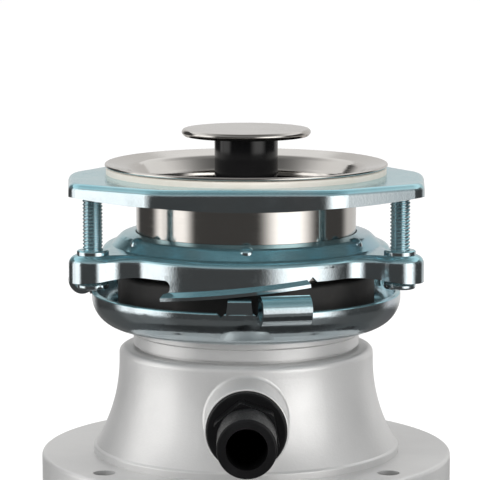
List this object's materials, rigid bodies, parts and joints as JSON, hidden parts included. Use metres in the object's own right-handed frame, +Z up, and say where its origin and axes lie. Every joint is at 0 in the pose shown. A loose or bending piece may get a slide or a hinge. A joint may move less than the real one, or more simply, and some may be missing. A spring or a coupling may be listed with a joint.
{
  "type": "food waste disposer",
  "caption": "Kitchen food-waste disposer: sink flange with stopper, bolted ring mount with ramps, cast hopper with hose inlet, wide grind chamber, motor and tailpipe.",
  "frame": {"origin": "centre of the foot ring, on the surface that the disposer stands on, under the motor's axis", "axes": "+Z up along the motor's axis to the sink flange; -Y front, the way the hose inlet points; +X the way the discharge port points"},
  "size_m": [0.2421, 0.1913, 0.3256],
  "materials": {
    "polished_steel": "polished",
    "spring_steel": "satin",
    "zinc_plate": "bright zinc plating",
    "screw_steel": "satin",
    "black_plastic": "gloss",
    "fitting_plastic": "satin",
    "black_rubber": "matte",
    "cream_rubber": "matte",
    "gasket_fibre": "matte",
    "cast_silver": "silver paint on a casting",
    "cast_plain": "as cast",
    "bronze": "satin",
    "laminations": "varnished",
    "copper": "varnished",
    "shell_paint": "satin",
    "cap_plastic": "satin",
    "button_red": "gloss",
    "cover_steel": "satin"
  },
  "bodies": {
    "casing": {"sink_flange": "polished_steel", "rim_gasket": "cream_rubber", "backup_flange": "zinc_plate", "mounting_bolts": "zinc_plate", "mounting_ring": "zinc_plate", "snap_ring": "spring_steel", "neck_gasket": "black_rubber", "splash_guard": "black_rubber", "hopper": "cast_silver", "drum_cover": "cast_silver", "hopper_screws": "screw_steel", "inlet_gasket": "black_rubber", "inlet_fitting": "fitting_plastic", "chamber_gasket": "gasket_fibre", "grind_chamber": "cast_silver", "shredder_ring": "spring_steel", "shaft_seal": "black_rubber", "upper_bearing": "bronze", "start_switch": "cap_plastic", "stator_core": "laminations", "upper_winding": "copper", "lower_winding": "copper", "motor_shell": "shell_paint", "lower_end_bell": "cast_plain", "lower_bearing": "bronze", "thrust_washer": "spring_steel", "tie_bolts": "screw_steel", "overload_protector": "cap_plastic", "bottom_cap": "cap_plastic", "cap_screws": "screw_steel", "wiring_cover": "cover_steel", "cover_screw": "screw_steel", "port_gasket": "black_rubber", "discharge_elbow": "black_plastic", "discharge_clamp": "screw_steel", "discharge_screws": "screw_steel"},
    "stopper": {"stopper_cap": "polished_steel", "stopper_stem": "black_plastic", "stopper_seal": "black_rubber"},
    "turning_ring": {"lower_ring": "zinc_plate", "turning_tubes": "zinc_plate"},
    "rotor": {"rotor_shaft": "spring_steel", "rotor_core": "laminations", "rotor_end_rings": "cast_plain", "turntable": "spring_steel", "turntable_nut": "spring_steel", "lug_rivets": "spring_steel"},
    "left_lug": {"lug_left": "spring_steel"},
    "right_lug": {"lug_right": "spring_steel"},
    "governor_collar": {"governor": "cap_plastic"},
    "button": {"reset_button": "button_red"}
  },
  "joints": [
    {"name": "stopper_lift", "type": "slide", "parent": "casing", "child": "stopper", "axis": [0, 0, 1], "range_m": [0, 0.06]},
    {"name": "ring_turn", "type": "hinge", "parent": "casing", "child": "turning_ring", "pos_m": [0, 0, 0.2459], "axis": [0, 0, 1], "range_deg": [-2.5, 30]},
    {"name": "rotor_spin", "type": "hinge", "parent": "casing", "child": "rotor", "pos_m": [0, 0, 0.052], "axis": [0, 0, 1], "continuous": true},
    {"name": "left_lug_swing", "type": "hinge", "parent": "rotor", "child": "left_lug", "pos_m": [-0.033, 0, 0.1625], "axis": [0, 0, 1], "continuous": true},
    {"name": "right_lug_swing", "type": "hinge", "parent": "rotor", "child": "right_lug", "pos_m": [0.033, 0, 0.1625], "axis": [0, 0, 1], "continuous": true},
    {"name": "governor_slide", "type": "slide", "parent": "rotor", "child": "governor_collar", "axis": [0, 0, 1], "range_m": [0, 0.002]},
    {"name": "button_press", "type": "slide", "parent": "casing", "child": "button", "axis": [0, 0, 1], "range_m": [0, 0.003], "stiffness_N_per_m": 300}
  ]
}
